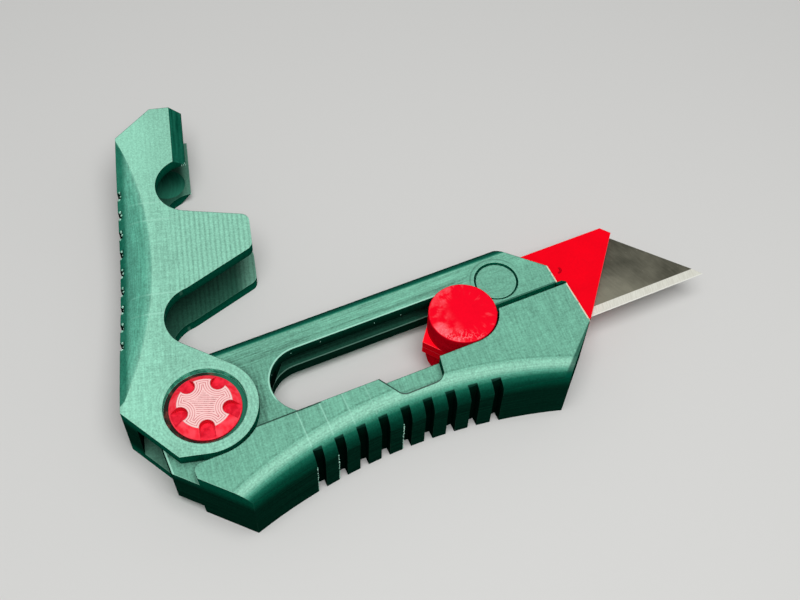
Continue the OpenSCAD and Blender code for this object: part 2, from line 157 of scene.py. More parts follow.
# %% One material and its node tree
class Finish:
    """A material whose nodes are made one call at a time. x, y and z are the place on
    the piece in mm, off_mid is its distance from the knife's middle plane, and rise is
    0 on walls and 1 on level faces."""

    def __init__(self, name, turn=0.0, centre=(0.0, 0.0, 0.0)):
        self.material = bpy.data.materials.new(name)
        self.material.use_nodes = True
        self.tree = self.material.node_tree
        self.shader = self.tree.nodes["Principled BSDF"]
        place = self.node("ShaderNodeTexCoord", {}, {}, "Object")
        centred = self.node("ShaderNodeVectorMath", {"operation": "MULTIPLY_ADD"}, {
            0: place, 1: (1 / MM,) * 3, 2: tuple(-c for c in centre)}, "Vector")
        self.place = self.node("ShaderNodeMapping", {}, {
            "Vector": centred, "Rotation": (0.0, 0.0, -math.radians(turn))}, "Vector")
        self.x, self.y, self.z = self.split(self.place)
        self.normal = self.node("ShaderNodeNewGeometry", {}, {}, "Normal")
        self.rise = abs(self.split(self.normal)[2])
        self.off_mid = abs(self.z - MID_Z)

    def node(self, kind, settings, values, output=0):
        """Socket of a new node: settings first, then values or links by input."""
        made = self.tree.nodes.new(kind)
        for key, value in settings.items():
            if key == "stops":
                ramp = made.color_ramp.elements
                for i, (place, colour) in enumerate(value):
                    stop = ramp[i] if i < 2 else ramp.new(place)
                    stop.position, stop.color = place, colour
            else:
                setattr(made, key, value)
        for key, value in values.items():
            if isinstance(value, Wire):
                self.tree.links.new(value.socket, made.inputs[key])
            else:
                made.inputs[key].default_value = value
        return Wire(self, made.outputs[output])

    def split(self, vector):
        """X, Y and Z of a vector."""
        made = self.node("ShaderNodeSeparateXYZ", {}, {0: vector})
        return [Wire(self, s) for s in made.socket.node.outputs]

    def join(self, x, y, z):
        """Vector of three numbers."""
        return self.node("ShaderNodeCombineXYZ", {}, {0: x, 1: y, 2: z})

    def noise(self, place, size, detail=2.0, output="Fac"):
        """Cloudy noise with blobs about size mm across; place is in mm."""
        return self.node("ShaderNodeTexNoise", {}, {
            "Vector": place, "Scale": 1 / size, "Detail": detail}, output)

    def mix(self, factor, first, second):
        """Colour that goes from first to second as the factor goes from 0 to 1."""
        return self.node("ShaderNodeMix", {"data_type": "RGBA"}, {0: factor, 6: first, 7: second}, 2)

    def scaled(self, colour, factor):
        """The colour, times a number."""
        return self.node("ShaderNodeVectorMath", {"operation": "SCALE"}, {
            0: colour, "Scale": factor}, "Vector")

    def stops(self, stops, place):
        """Colour at a place between 0 and 1 on a row of (place, colour) stops."""
        return self.node("ShaderNodeValToRGB", {"stops": stops}, {0: place})

    def set(self, name, value):
        """Give one input of the shader a value or a link."""
        if isinstance(value, Wire):
            self.tree.links.new(value.socket, self.shader.inputs[name])
        else:
            self.shader.inputs[name].default_value = value

    def printed(self):
        """The base colour so far, for another layer to go over."""
        return Wire(self, self.shader.inputs["Base Color"].links[0].from_socket)

    def painted_glow(self, colour, share):
        """Painted light: a little emission of its own, where the share is above 0."""
        self.set("Emission Color", self.mix(share, (0, 0, 0, 1), colour))
        self.set("Emission Strength", 1.0)

    def relief(self, height, radius=0.22):
        """Bump whose height is in mm, over edges rounded to the radius in mm."""
        soft = self.node("ShaderNodeBevel", {"samples": 6}, {"Radius": radius * MM})
        self.set("Normal", self.node("ShaderNodeBump", {}, {
            "Strength": 1.0, "Distance": MM, "Height": height, "Normal": soft}))
        return soft

    def edge(self, soft):
        """How far the rounded normal turns from the face's own: 0 on faces, up to 0.3
        on a square edge."""
        along = self.node("ShaderNodeVectorMath", {"operation": "DOT_PRODUCT"}, {
            0: soft, 1: self.normal}, "Value")
        return 1 - along


def rgb(red, green, blue):
    """Linear colour of a display colour given in 0 to 255: ((c + 0.055) / 1.055) ** 2.4,
    or c / 12.92 where it is dark."""
    c = np.array([red, green, blue]) / 255
    linear = np.where(c <= 0.04045, c / 12.92, ((c + 0.055) / 1.055) ** 2.4)
    return (*(float(v) for v in linear), 1.0)


def beads(along, pitch):
    """Section of extruded lines side by side: 1 on each crown, 0 in each valley, from
    4 f (1 - f) where f is the place within one line."""
    f = (along / pitch).fraction()
    return f * (1 - f) * 4


def dress(material, *names):
    """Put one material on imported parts."""
    for name in names:
        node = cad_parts[name]
        node.data.materials.clear()
        node.data.materials.append(material)
    print(material.name, "on", ", ".join(names))


# %% [markdown]
# ## Green silk print
#
# The plastic is one colour, but a print shows it in several ways. A flat top layer is
# laid in parallel lines that catch the light, and its pale, milky colour is painted
# sheen. A wall is a stack of 0.2 mm layers, and its deep green is painted shade. A
# rolled edge lies between the two, and its colour follows how far it has turned, from
# painted sheen to painted shade. The turn is worked out from the place on
# the piece, because a imported mesh has flat facets and a colour that followed them
# would show steps. The cover is finished in its folded position, so its pattern is
# turned with it.

# %% Measures of the knife that the finishes follow, in mm
LAYER, LINE, STRIPE = 0.2, 0.45, 1.175
RIB_X, RIB_PITCH, SLOT_W, RIB_SPAN = 41.4, 5.55, 2.2, 24.6
WAIST_X, WAIST_Y, WAIST_R = 41.0, -20.0, 131.4
FINGER_Y, FINGER_PLAN, FINGER_ROUND = -13.4, 104.0, 6.6
SLOT_EDGE = (1.18, 1.11)
SCALLOP_X, SCALLOP_Y, SCALLOP_PLAN, SCALLOP_ROUND = 43.0, 9.6, 100.0, 10.0
SPINE_Y, SPINE_FALL = 18.9, 0.0218
RAIL_Y, RAIL_ROUND, RAIL_FACE, SEAM_Y = 15.4, 2.6, (7.2, 7.8), 9.35
SLIT_Y, SLIT_START = -1.75, (72.0, 73.0)
LAND_Z, LIP_Z, EDGE_INSET = 6.7, 14.74, 0.16
REAR_X, GRIP_NOSE_X, TOE_LINE = -11.7, 90.12, 106.0
KNOB_X, KNOB_TRAVEL, LANE_Y, LANE_R = 64.2, 40.0, -0.85, 8.65
DISC_X, DISC_Y, DISC_R = 76.8, 6.0, 4.95
HUB_R, SINK_R = 12.1, 9.55
POCKET_X, POCKET_W, POCKET_Y, POCKET_R = 43.5, 6.9, -12.85, 2.4
POCKET_LEAN = math.radians(31)
print(round(RIB_SPAN * 2 / RIB_PITCH), "slots at", RIB_PITCH, "mm, layers of", LAYER, "mm")

# %% Colours of the green, by how far the surface has turned from face to wall: painted sheen on faces, painted shade on walls
FRAME_FACE, COVER_FACE = rgb(113, 176, 152), rgb(138, 199, 175)
WALL_DARK, WALL_LIGHT = rgb(2, 24, 17), rgb(8, 50, 37)
DEEP_COLOUR, LIT_COLOUR, CREAM = rgb(6, 118, 88), rgb(3, 92, 70), rgb(240, 226, 202)
INSIDE_SHADE_COLOUR, RECESS_SHADE_COLOUR, EDGE_HIGHLIGHT_AND_PALE_COLOUR = rgb(10, 66, 50), rgb(0, 14, 9), rgb(168, 228, 205)
# The turn colours are painted: a paler sheen near the face, then painted shade as the round turns to the
# wall.
FINGER_TURN = [(0.0, rgb(122, 188, 163)), (0.12, rgb(138, 200, 175)), (0.33, rgb(134, 196, 171)),
               (0.5, rgb(76, 152, 128)), (0.63, rgb(22, 96, 76)), (0.8, rgb(6, 62, 47)),
               (1.0, rgb(4, 36, 27))]
RAIL_TURN = [(0.0, rgb(100, 164, 140)), (0.07, rgb(62, 134, 110)), (0.14, rgb(26, 108, 86)),
             (0.24, rgb(6, 88, 69)), (0.45, rgb(2, 68, 53)), (1.0, rgb(2, 38, 29))]
SCALLOP_TURN = [(0.0, rgb(140, 202, 178)), (0.05, rgb(112, 182, 158)), (0.2, rgb(92, 168, 144)),
                (0.66, rgb(82, 156, 135)), (0.8, rgb(44, 122, 100)), (1.0, rgb(4, 46, 34))]
print("wall colour, linear", [round(v, 4) for v in WALL_LIGHT[:3]])


# %% [markdown]
# ## What both green pieces share
#
# Layers on the walls, grain on the flat tops, and on the edges of level faces a
# painted highlight, with painted shade on those that face +Y, are the same on both.
# Each piece then adds masks that are measured in mm from its own places.


# %% The finish that both green pieces share
def turn_of(distance, full):
    """Sine of the angle that a round has turned: distance along the face over the
    round's radius, held between 0 and 1."""
    return (distance / full).largest(0.0).smallest(1.0)


def green_print(g, face, rolled, pattern, marks):
    """Finish of a green piece. face and rolled are the colours of its flat tops and of
    its rolled edges, in painted sheen and shade; pattern is the light and dark of the top
    layer, round 0; marks holds the masks inner and pit (painted shade inside and in
    recesses), lit and deep (painted light on walls), pale (pale marks and painted
    highlights) and dark (dark lines, mostly painted shade)."""
    flat = g.rise.ramp(0.9990, 0.9996)
    wall = g.rise.ramp(0.09, 0.02)
    layers = beads(g.z + g.noise(g.place, 8.0) * 0.05, LAYER)
    course = g.noise(g.join(g.x / 24, g.y / 24, g.z / 0.45), 1.0)
    cloud = g.noise(g.place, 16.0) - 0.5
    grit = g.noise(g.place, 0.42, 2.0) - 0.5
    fleck = g.noise(g.place, 0.9, 1.0) - 0.5
    # Walls: layer courses in painted shade, lightened by painted light where lit or deep.
    courses = g.mix((course * 1.6 - 0.45) + layers * 0.25, WALL_DARK, WALL_LIGHT)
    courses = g.mix(marks["lit"], courses, LIT_COLOUR)
    courses = g.mix(marks["deep"], courses, DEEP_COLOUR)
    # Faces inside the knife take painted shade.
    face = g.mix(marks["inner"] * 0.92, face, INSIDE_SHADE_COLOUR)
    colour = g.mix(flat, g.mix(wall, rolled, courses), face)
    grain = pattern + grit * 0.75 + fleck * 0.35 + cloud * 0.2
    contour = (layers - 0.6) * 0.14 + grit * 0.9 + fleck * 0.3
    shade = 1 + (contour + flat * (grain - contour))
    colour = g.scaled(colour, shade.largest(0.3).smallest(1.8))
    # Slots and the lane's groove take painted shade.
    colour = g.mix(marks["pit"], colour, RECESS_SHADE_COLOUR)
    soft = g.relief((pattern * 0.06 + grit * 0.05) * flat + layers * (1 - flat) * 0.03, 0.28)
    # Edges of level faces: a painted highlight, and painted shade on edges whose rounded normal faces +Y.
    rim = g.edge(soft).ramp(0.01, 0.12) * (1 - marks["pit"]) * (1 - marks["inner"] * 0.85)
    far = g.split(soft)[1].ramp(0.05, 0.3) * flat
    colour = g.mix((rim * (1 - far) * (0.03 + 0.75 * flat)).largest(marks["pale"]), colour, EDGE_HIGHLIGHT_AND_PALE_COLOUR)
    colour = g.mix((rim * far).largest(marks["dark"]), colour, WALL_DARK)
    g.set("Base Color", colour)
    g.set("Roughness", 0.5 + 0.2 * grit)
    g.set("Specular IOR Level", 0.0)
    g.set("Coat Weight", g.rise.ramp(0.75, 0.98) * (0.22 + 0.3 * grit))
    g.set("Coat Roughness", 0.32)


def slot_distance(g, offset=0.0):
    """Distance in mm from the middle of the nearest slot, or from a line that far
    beside it: the wave p |f - 1/2| with f the fraction of (x - start) / p + 1/2."""
    f = ((g.x - (RIB_X + offset)) / RIB_PITCH + 0.5).fraction()
    return abs(f - 0.5) * RIB_PITCH


def in_slots(g):
    """1 in the slots of the ribbed stretch, 0 on its ribs and beyond its ends."""
    return slot_distance(g).ramp(*SLOT_EDGE) * abs(g.x - RIB_X).ramp(RIB_SPAN, RIB_SPAN - 0.3)


def streaks(g, along, across, length, width):
    """Long thin noise, round 0: length mm along and width mm across."""
    return g.noise(g.join(along / length, across / width, g.z * 0.1), 1.0) - 0.5


def lane_side(g):
    """Distance in mm outside the lane's outline: the distance from the segment between
    its two end centres, less its radius."""
    ahead = (g.x - KNOB_X).largest(KNOB_X - KNOB_TRAVEL - g.x).largest(0.0)
    return ahead.length(g.y - LANE_Y) - LANE_R


# %% [markdown]
# ## The frame's finish
#
# The nozzle crossed the grip, then ran along the rail and round the magnet disc. The
# finger edge and the rail are rolled over, and the lane's edges carry painted highlights.


# %% Frame: the colour of its rolled edges
def frame_roll(g, bow, from_arc):
    """Two rounds, each coloured with painted sheen and shade by how far it has turned: the
    finger edge, whose turn grows with its bow, and the rail."""
    finger_turn = turn_of(FINGER_PLAN - from_arc, FINGER_ROUND) * (0.9 + bow * 0.045)
    over = g.x.smallest(0.0).length(g.y) - (RAIL_Y - RAIL_ROUND)
    rail = g.stops(RAIL_TURN, turn_of(over, RAIL_ROUND))
    return g.mix(g.y.ramp(-1.0, 0.0), g.stops(FINGER_TURN, finger_turn), rail)


# %% Frame: lines across the grip, along the rail and round the disc
def frame_lines(g, from_arc, from_disc, low_face):
    """Light and dark of the top layer, round 0. The low face is darker towards the rear
    and has painted shadow round the hub, and a crease runs where the finger edge begins."""
    across = streaks(g, g.y + g.x * 0.12, g.x - g.y * 0.12, 6.0, 0.5) * 0.75
    across = across + streaks(g, g.x, g.y, 4.0, 0.6) * 0.4
    lines = beads(g.y + g.noise(g.join(g.x / 20, g.y / 3, 0.0), 1.0) * 0.3, 0.6) - 0.6
    along = streaks(g, g.x, g.y, 12.0, 0.4) * 1.1 + streaks(g, g.x, g.y, 1.2, 0.35) * 0.5
    along = along + lines * 0.16
    seam = abs(g.y - SEAM_Y).ramp(0.6, 0.15) * abs(g.x - 46).ramp(26, 20)
    rings = (beads(from_disc, 0.9) - 0.6) * 0.08 + streaks(g, g.x, g.y, 3.0, 0.5) * 0.5
    pattern = across + g.y.ramp(*RAIL_FACE) * (along - seam * 0.26 - across)
    pattern = pattern + from_disc.ramp(7.4, 7.2) * (rings - pattern)
    pattern = pattern - from_disc.ramp(DISC_R + 0.2, DISC_R) * 0.04
    pattern = pattern - low_face * g.x.ramp(44.0, 12.0) * 0.13
    # Painted shadow on the low face round the hub.
    pattern = pattern - low_face * g.x.length(g.y).ramp(15.5, 12.6) * 0.3
    crease = abs(from_arc - FINGER_PLAN - 0.25).ramp(0.42, 0.1) * g.y.ramp(-8.0, -10.0)
    return pattern - crease * (0.02 + g.noise(g.place, 1.6) * 0.26)


# %% Frame: pale strokes and painted edge highlights
def frame_pale(g, depth, low_face):
    """Strokes beside the finger slots that fade towards the front, and painted highlights
    on the land and the lip of the lane and on the rear end of the low face."""
    strokes = slot_distance(g, 0.05 - SLOT_W / 2).ramp(0.26, 0.06)
    strokes = strokes * depth.ramp(2.7, 3.3) * g.y.ramp(-8.8, -9.6)
    fade = g.x.ramp(50.0, 20.0) * g.x.ramp(15.0, 17.0) * (0.45 + g.noise(g.place, 1.2) * 0.6)
    lane = lane_side(g)
    land = lane.ramp(0.28, 0.12) * abs(g.z - LAND_Z).ramp(0.3, 0.1)
    lip = lane.ramp(0.44, 0.32) * abs(g.z - LIP_Z).ramp(0.14, 0.06) * g.y.ramp(-5.0, -2.0)
    rear = g.x.ramp(REAR_X + 0.2, REAR_X) * low_face * g.rise.ramp(0.9, 0.99)
    return (strokes * fade * 0.6).largest(land * 0.28).largest((lip * 0.8).largest(rear * 0.8))


# %% Frame: dark edges, mostly painted shade lines
def pocket_side(g):
    """Distance in mm outside the line between the two corner centres of the guard's
    pocket, and outside the leaning rear side that rises from the first of them."""
    behind, above = POCKET_X - g.x, g.y - POCKET_Y
    across = behind.largest(0.0) + (g.x - POCKET_X - POCKET_W).largest(0.0)
    lean = behind * math.cos(POCKET_LEAN) - above * math.sin(POCKET_LEAN)
    round_end = across.length(above.smallest(0.0))
    up_side = (behind * math.sin(POCKET_LEAN) + above * math.cos(POCKET_LEAN)).ramp(-0.05, 0.05)
    return round_end + up_side * (lean - round_end)


def frame_dark(g, from_disc):
    """The line round the disc, and painted shade on the lane's edge beside the hub and on the pocket's rim.
    """
    outer_ring = abs(from_disc - 6.4).ramp(0.3, 0.08) * (g.y - g.x + 76).ramp(0.0, 5.0)
    outer_ring = outer_ring * g.y.ramp(*RAIL_FACE)
    ledge = abs(g.y - (LANE_Y - LANE_R - EDGE_INSET)).ramp(0.28, 0.12)
    ledge = ledge * abs(g.x - 15.5).ramp(8.8, 8.4) * g.z.ramp(17.8, 17.9)
    pocket = abs(pocket_side(g) - POCKET_R - EDGE_INSET).ramp(0.24, 0.1)
    pocket = pocket * g.z.ramp(17.0, 17.2) * g.rise.ramp(0.5, 0.7)
    return (outer_ring * 0.3).largest(ledge * 0.8).largest(pocket * 0.85)


# %% Frame: the whole finish
def frame_green():
    """Green of the frame, deep in colour along the slit and at the toe, with pale
    crumbs on its nose."""
    g = Finish("green_frame")
    bow = (g.x - WAIST_X) * (g.x - WAIST_X) / (2 * WAIST_R)
    depth = g.y + bow - WAIST_Y
    from_arc = (g.x - WAIST_X).length(g.y - (FINGER_Y - FINGER_PLAN))
    from_disc = (g.x - DISC_X).length(g.y - DISC_Y)
    low_face = g.off_mid.ramp(7.0, 6.5)
    pit = in_slots(g) * depth.ramp(0.05, 0.25) * depth.ramp(2.6, 2.3)
    groove = lane_side(g).ramp(0.4, 0.2) * g.off_mid.ramp(2.4, 2.2)
    slit = abs(g.y - SLIT_Y).ramp(1.6, 1.5) * g.x.ramp(*SLIT_START)
    # inner, pit and dark add painted shade; lit and deep add painted light on walls, deep along the slit and
    # round the disc; pale adds painted highlights beside the pale strokes.
    green_print(g, FRAME_FACE, frame_roll(g, bow, from_arc), frame_lines(g, from_arc, from_disc, low_face), {
        "inner": g.off_mid.ramp(3.2, 3.0), "pit": (pit * 0.85).largest(groove * 0.8),
        "lit": g.z.ramp(11.5, 16.0) * 0.6, "deep": slit.largest(from_disc.ramp(5.5, 5.46)),
        "pale": frame_pale(g, depth, low_face), "dark": frame_dark(g, from_disc)})
    slit_edge = g.y.ramp(0.14, 0.0) * g.y.ramp(-0.6, -0.5)
    slit_edge = slit_edge * g.x.ramp(*SLIT_START) * g.rise.ramp(0.9, 0.99)
    toe_width = (0.3 - (g.y + 15.0) * 0.11).largest(0.3)
    toe = ((TOE_LINE - g.x + g.y) * 0.707 / toe_width).ramp(1.15, 0.7)
    toe = toe * g.y.ramp(-14.5, -15.5) * g.rise.ramp(0.3, 0.5)
    printed = g.mix((slit_edge * 0.7).largest(toe * 0.8), g.printed(), rgb(2, 70, 54))
    nose = (g.x - GRIP_NOSE_X - g.y.ramp(-1.0, -2.5) * 0.5).ramp(0.0, 0.12) * g.off_mid.ramp(5.5, 5.65)
    crumbs = g.noise(g.join(g.x, g.y / 1.4, 0.0), 0.8).ramp(0.3, 0.5)
    g.set("Base Color", g.mix(nose * crumbs * g.rise.ramp(0.9, 0.99) * 0.85, printed, CREAM))
    return g.material


dress(frame_green(), "frame", "magnet_disc_upper", "magnet_disc_lower")


# %% [markdown]
# ## The cover's finish
#
# The cover is finished as it lies folded, with the same measures as the frame. Its
# spine has a long scallop, its guard wide stripes, and its hub a sink round the pin.


# %% Cover: the colour of its rolled edges
def cover_roll(g, depth):
    """The scallop along the spine, coloured with painted sheen and shade by how far it has
    turned, streaked, and darker towards the tip and at the slots. Edges lower down have
    lines of their own."""
    from_arc = (g.x - SCALLOP_X).length(g.y - (SCALLOP_Y + SCALLOP_PLAN))
    scallop = g.stops(SCALLOP_TURN, turn_of(SCALLOP_PLAN - from_arc, SCALLOP_ROUND))
    spine_lines = streaks(g, g.x, g.y, 9.0, 0.5) * 0.9 + (g.noise(g.place, 2.5) - 0.5) * 0.5
    scallop = g.scaled(scallop, 1 + spine_lines)
    scallop = g.mix(g.x.ramp(66.0, 82.0) * (g.y - 8.0).ramp(2.0, 7.0) * 0.75, scallop, rgb(34, 118, 96))
    scallop = g.mix(depth.ramp(2.7, 1.3) * 0.8, scallop, rgb(12, 102, 80))
    tip = g.mix(streaks(g, g.x, g.z, 8.0, 0.5) * 1.6 + 0.5, rgb(0, 62, 46), rgb(30, 112, 90))
    return g.mix(g.y.ramp(5.0, 4.0), scallop, tip)


# %% Cover: lines along the spine, wide stripes on the guard, rings round the hub
def cover_lines(g, radius):
    """Light and dark of the top layer, round 0, quieter towards the tip and low down."""
    ring = radius.ramp(HUB_R + 0.2, HUB_R)
    quiet = (g.x.ramp(72.0, 60.0) * 0.6 + 0.4) * (g.y.ramp(0.0, 6.0) * 0.55 + 0.45)
    along = streaks(g, g.x, g.y, 6.0, 0.5) * quiet * 0.6
    across = streaks(g, g.y, g.x, 4.0, 0.55) * quiet * 0.5
    rings = (beads(radius, 0.8) - 0.6) * 0.16 + streaks(g, g.x, g.y, 2.0, 0.6) * 0.7
    guard = g.y.ramp(8.0, 2.0) * (1 - ring) * g.x.ramp(24.0, 30.0) * g.x.ramp(66.0, 60.0)
    wide = beads(g.y + g.noise(g.place, 6.0) * 0.15, STRIPE) - 0.6
    pattern = along + across + ring * (rings - along - across) + guard * wide * 0.34
    tip_face = g.x.ramp(66.0, 72.0)
    pattern = pattern * (1 - tip_face * 0.5) + g.y.ramp(6.0, 13.0) * 0.16
    return pattern + tip_face * ((beads(g.y, STRIPE) - 0.6) * 0.08 + 0.05)


# %% Cover: pale strokes and a painted highlight on the sink's collar
def cover_pale(g, depth, radius):
    """A painted highlight on the collar of the sink, and strokes beside the spine's slots,
    except in its middle and at its ends."""
    collar = abs(radius - SINK_R).ramp(0.12, 0.06) * g.off_mid.ramp(6.9, 7.1)
    from_middle = abs(g.x - SCALLOP_X)
    strokes = slot_distance(g, SLOT_W / 2 + 0.3).ramp(0.3, 0.08) * depth.ramp(2.6, 3.4) * g.y.ramp(1.0, 4.5)
    strokes = strokes * from_middle.ramp(4.0, 9.0) * from_middle.ramp(18.5, 17.5)
    strokes = strokes * (0.4 + g.noise(g.place, 1.5) * 0.6)
    strokes = strokes * g.off_mid.ramp(7.0, 7.5) * (0.3 + 0.7 * g.rise.ramp(0.990, 0.999))
    return (collar * g.rise.ramp(0.8, 0.95) * 0.5).largest(strokes * 0.6)


# %% Cover: the whole finish
def cover_green():
    """Green of the cover, with painted shade within. The sink round the pin has painted
    light on its wall, and a floor in painted shade with a painted reflection of the pin's red."""
    g = Finish("green_cover", OPEN_ANGLE)
    depth = SPINE_Y - g.x * SPINE_FALL - g.y
    radius = g.x.length(g.y)
    sink = radius.ramp(SINK_R - 0.02, SINK_R - 0.06) * g.off_mid.ramp(8.6, 8.4)
    sink_wall = abs(radius - SINK_R).ramp(0.1, 0.05) * g.rise.ramp(0.5, 0.2)
    # Painted light on the hub's outer wall, by way of the deep mark.
    hub_wall = radius.ramp(HUB_R + 0.1, HUB_R + 0.02) * (1 - sink) * g.rise.ramp(0.1, 0.02)
    # Painted shade on the faces inside, less on the open side.
    inner = g.off_mid.ramp(6.4, 6.1) * (1 - g.x.ramp(8.0, 2.0) * 0.3)
    open_side = g.y.ramp(-9.0, -14.0).largest(g.y.ramp(3.0, 0.5) * g.x.ramp(70.0, 72.0) * 0.6)
    # inner, pit and dark are painted shade, lit and deep painted light on walls, and pale the sink collar's
    # painted highlight beside the pale strokes.
    green_print(g, COVER_FACE, cover_roll(g, depth), cover_lines(g, radius), {
        "inner": inner * (1 - open_side * 0.45),
        "pit": in_slots(g) * depth.ramp(0.02, 0.12) * depth.ramp(1.3, 1.1) * 0.55,
        "lit": g.off_mid.ramp(4.0, 8.0) * 0.75, "deep": hub_wall * 0.45,
        "pale": cover_pale(g, depth, radius),
        "dark": inner * g.x.ramp(76.0, 80.0) * g.y.ramp(1.0, 3.2) * 0.65})
    # The sink's wall takes painted light; its floor takes painted shade with a painted reflection of the
    # pin's red, greener towards -Y.
    blotch = g.noise(g.place, 2.4, 3.0)
    bright = g.mix(blotch.ramp(0.35, 0.65), rgb(22, 138, 108), rgb(104, 240, 200))
    painted_sink_floor = g.mix(blotch.ramp(0.45, 0.7), rgb(40, 38, 32), rgb(122, 62, 52))
    painted_sink_floor = g.mix(g.y.ramp(0.0, -6.0), painted_sink_floor, rgb(40, 112, 90))
    g.set("Base Color", g.mix(sink, g.mix(sink_wall, g.printed(), bright), painted_sink_floor))
    return g.material


dress(cover_green(), "cover")

# %% [markdown]
# ## Red print
#
# The red pieces are small, so each gets the marks of its own making. The knobs were
# rubbed down on their ends and show pale scuffs, the carrier plate is plain and
# saturated, and the pin's head was printed in lines that follow its star.

# %% What the red pieces share
# RED_DARK and the first knob colour are the walls' red in painted shade; the scuff colour also serves as the
# painted highlight on edges.
RED_DARK, RED_LIGHT = rgb(178, 0, 16), rgb(253, 0, 26)
RED_SCUFF = rgb(255, 122, 130)
KNOB_COLOURS = (rgb(184, 0, 20), rgb(251, 3, 36), rgb(255, 122, 132))


def red_print(r, pale=0.0, extra=0.0, colours=(RED_DARK, RED_LIGHT, RED_SCUFF), edge_highlight=0.7):
    """Finish of a red piece: pale is the share of the scuffed colour, extra is its
    added relief in mm, colours are those of its walls in painted shade, its faces and
    its scuffs, and the last argument is how strong the painted highlight on its edges is."""
    flat = r.rise.ramp(0.25, 0.75)
    layers = beads(r.z, LAYER)
    cloud = r.noise(r.place, 5.0)
    fine = r.noise(r.place, 0.6, 4.0)
    # Walls take painted shade, and edges a painted highlight in the scuff colour.
    shade = flat * 0.75 + cloud * 0.3 + fine * 0.24 - 0.08 + layers * (1 - flat) * 0.3
    soft = r.relief(layers * (1 - flat) * 0.03 + fine * 0.015 + extra)
    rim = r.edge(soft).ramp(0.01, 0.12) * edge_highlight
    r.set("Base Color", r.mix(rim.largest(pale), r.mix(shade, colours[0], colours[1]), colours[2]))
    r.set("Roughness", 0.45 + 0.2 * pale + 0.1 * fine)
    r.set("Specular IOR Level", 0.0)
    r.set("Coat Weight", flat * 0.12)
    r.set("Coat Roughness", 0.35)


# %% Knob: scuffed on its ends
def scuffed_knob():
    """Pale clouds that gather on one side, with short strokes that fan out from the
    knob's centre."""
    r = Finish("red_knob", 0.0, (KNOB_X, LANE_Y, 0.0))
    flat = r.rise.ramp(0.9, 0.99)
    radius = r.x.length(r.y)
    left = (r.x * -0.98 + r.y * -0.15).ramp(1.5, 6.5)
    front = (r.x * -0.52 + r.y * -0.86).ramp(4.0, 7.0)
    upper = (r.x * -0.55 + r.y * 0.84).ramp(3.0, 7.0)
    patch = r.noise(r.place, 3.4, 3.0).ramp(0.42, 0.62) * left
    patch = patch + r.noise(r.place, 2.2, 3.0).ramp(0.5, 0.66) * upper * 0.6
    scratch = r.noise(r.join(r.x + r.y * 0.4, r.y - r.x * 0.7, 3.0), 1.3, 3.0)
    scratch = abs(scratch - 0.5).ramp(0.05, 0.01)
    turn = r.x.math("ARCTAN2", r.y, r.x)
    stroke = r.noise(r.join(turn * 5, radius / 3.5, 0.0), 1.0, 3.0).ramp(0.56, 0.74)
    stroke = stroke * radius.ramp(3.5, 7.5)
    fine = r.noise(r.place, 0.6, 3.0).ramp(0.30, 0.70)
    pale = patch * (0.5 + 0.2 * fine) + scratch * front * 0.75 + stroke * 0.38
    red_print(r, pale.smallest(0.9) * flat, patch * fine * flat * 0.02, KNOB_COLOURS)
    return r.material


# %% Plate: plain and saturated
def plain_plate():
    """Saturated and even, a little brighter from the knobs back by painted light from
    emission, with one small dent beside the nose."""
    r = Finish("red_plate")
    across, along = r.x - 93.8, r.y - 4.7
    ring = abs(across.length(along) - 0.75).ramp(0.36, 0.1) * (across - along * 0.6).ramp(0.0, 0.5)
    dent = ring * (r.z - MID_Z).ramp(2.0, 2.1)
    red_print(r, 0.0, dent * -0.3 + beads(r.x + r.y, LINE) * 0.004)
    r.set("Base Color", r.mix(dent * 0.6, r.printed(), rgb(150, 0, 16)))
    # Painted light: emission brightens the plate from the knobs back.
    r.painted_glow(rgb(182, 8, 20), r.x.ramp(72.0, 66.0) * (0.25 + 0.75 * r.rise))
    return r.material


dress(plain_plate(), "carrier_upper", "carrier_lower")


# %% Pin head: print lines that follow the star
STAR_TURN, STAR_ARMS, STAR_R = 40.0, 5, 6.35
STAR_LINE, STAR_ALONG = 0.52, (0.41, 0.91)
NOTCH_R, NOTCH_W = 5.95, 3.5
PIN_TOP, NUT_LOW = 18.9, 0.0
PIN_COLOURS = (rgb(232, 34, 54), rgb(248, 34, 54), rgb(252, 206, 203))


